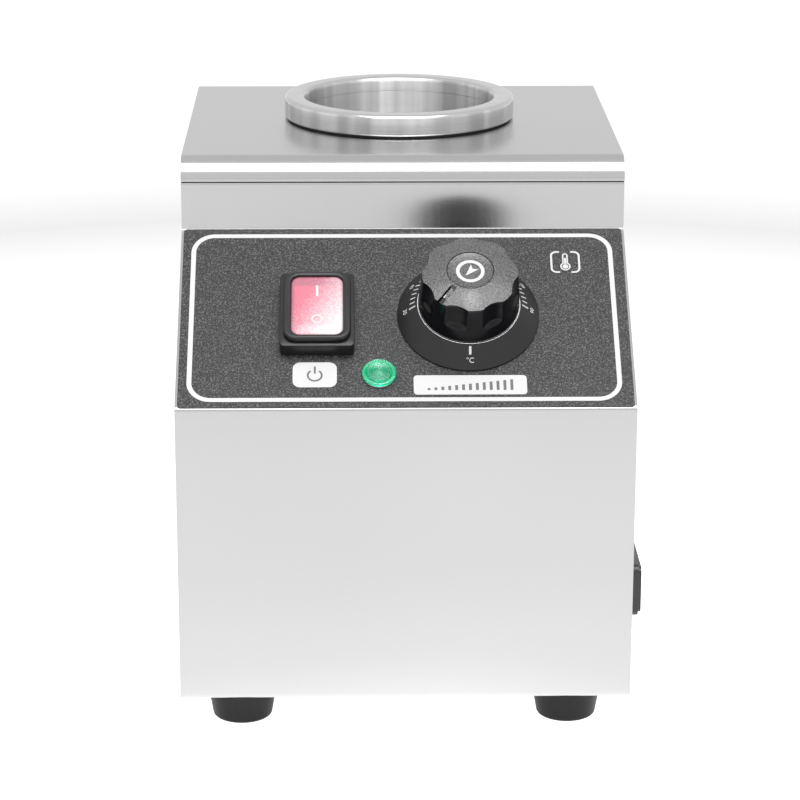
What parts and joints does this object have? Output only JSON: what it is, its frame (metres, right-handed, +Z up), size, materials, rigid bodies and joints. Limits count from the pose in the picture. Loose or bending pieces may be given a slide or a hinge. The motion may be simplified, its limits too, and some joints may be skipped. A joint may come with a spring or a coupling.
{
  "type": "single-well paraffin wax bath",
  "caption": "Counter-top wax bath: stainless casing with a sloped control face, a heated round well with a heavy steel collar, temperature knob, splash-proof rocker switch and lamp.",
  "frame": {"origin": "middle of the whole object's box, on the surface that it stands on", "axes": "+Z up along the well, -Y towards the user at the control face, +X to the user's right, where the power inlet is"},
  "size_m": [0.185, 0.2368, 0.23],
  "materials": {
    "stainless_sheet": "brushed along the width",
    "stainless_pot": "spun",
    "polished_steel": "turned and polished",
    "overlay_film": "fine textured film",
    "plate_foil": "satin",
    "bright_fastener": "zinc plated",
    "foot_rubber": "moulded",
    "gasket_rubber": "matt",
    "boot_rubber": "smooth moulded",
    "heater_mica": "woven and mica",
    "ceramic_white": "glazed",
    "insulation_wool": "glass wool",
    "jacket_foil": "foil",
    "cutout_resin": "moulded",
    "thermostat_case": "plated",
    "copper_tube": "drawn",
    "knob_plastic": "fine spark texture",
    "switch_plastic": "moulded",
    "rocker_red": "translucent",
    "brass_contact": "plated",
    "membrane_clear": "clear silicone",
    "lamp_plastic": "moulded",
    "lens_green": "clear with ring facets",
    "bulb_glass": "clear",
    "inlet_plastic": "moulded",
    "wire_sheath": "silicone sleeve"
  },
  "bodies": {
    "casing": {"front_panel": "stainless_sheet", "side_panel_left": "stainless_sheet", "side_panel_right": "stainless_sheet", "rear_panel": "stainless_sheet", "base_plate": "stainless_sheet", "top_cover": "stainless_sheet", "control_overlay": "overlay_film", "rating_plate": "plate_foil", "rating_plate_rivets": "bright_fastener", "foot_front_left": "foot_rubber", "foot_front_right": "foot_rubber", "foot_rear_left": "foot_rubber", "foot_rear_right": "foot_rubber", "foot_screws": "bright_fastener", "foot_nuts": "bright_fastener", "base_screws": "bright_fastener", "rear_screws": "bright_fastener", "cover_screws": "bright_fastener", "bath_pot": "stainless_pot", "collar_ring": "polished_steel", "collar_gasket": "gasket_rubber", "collar_studs": "bright_fastener", "collar_nuts": "bright_fastener", "heater_band": "heater_mica", "heater_clamp_screws": "bright_fastener", "heater_terminals": "ceramic_white", "insulation_sleeve": "insulation_wool", "insulation_jacket": "jacket_foil", "limit_cutout": "cutout_resin", "cutout_screws": "bright_fastener", "thermostat_body": "thermostat_case", "thermostat_screws": "bright_fastener", "thermostat_bulb": "copper_tube", "bulb_clip": "bright_fastener", "capillary_tube": "copper_tube", "dial_skirt": "knob_plastic", "switch_housing": "switch_plastic", "switch_terminals": "brass_contact", "switch_frame": "boot_rubber", "switch_membrane": "membrane_clear", "lamp_body": "lamp_plastic", "lamp_lens": "lens_green", "lamp_clip": "bright_fastener", "lamp_bulb": "bulb_glass", "inlet_housing": "inlet_plastic", "inlet_pins": "brass_contact", "inlet_screws": "bright_fastener", "terminal_block": "ceramic_white", "block_screws": "bright_fastener", "earth_stud": "bright_fastener", "mains_wires": "wire_sheath", "heater_wires": "wire_sheath", "lamp_wires": "wire_sheath"},
    "knob_body": {"knob": "knob_plastic", "knob_cap": "knob_plastic", "knob_spring": "bright_fastener", "thermostat_shaft": "bright_fastener"},
    "rocker_body": {"switch_rocker": "rocker_red"},
    "contact_body": {"switch_contact_arms": "brass_contact"}
  },
  "joints": [
    {"name": "knob_turn", "type": "hinge", "parent": "casing", "child": "knob_body", "pos_m": [0.0228, -0.08791, 0.17374], "axis": [0, 0.5843, -0.8115], "range_deg": [-40, 231]},
    {"name": "rocker_press", "type": "hinge", "parent": "casing", "child": "rocker_body", "pos_m": [-0.0372, -0.08137, 0.16243], "axis": [-1, 0, 0], "range_deg": [0, 18]},
    {"name": "contact_tilt", "type": "hinge", "parent": "casing", "child": "contact_body", "pos_m": [-0.0372, -0.07342, 0.15139], "axis": [1, 0, 0], "range_deg": [-1.5, 16]}
  ],
  "couplings": [
    {"joint": "contact_tilt", "follows": "rocker_press", "ratio": 0.8}
  ]
}
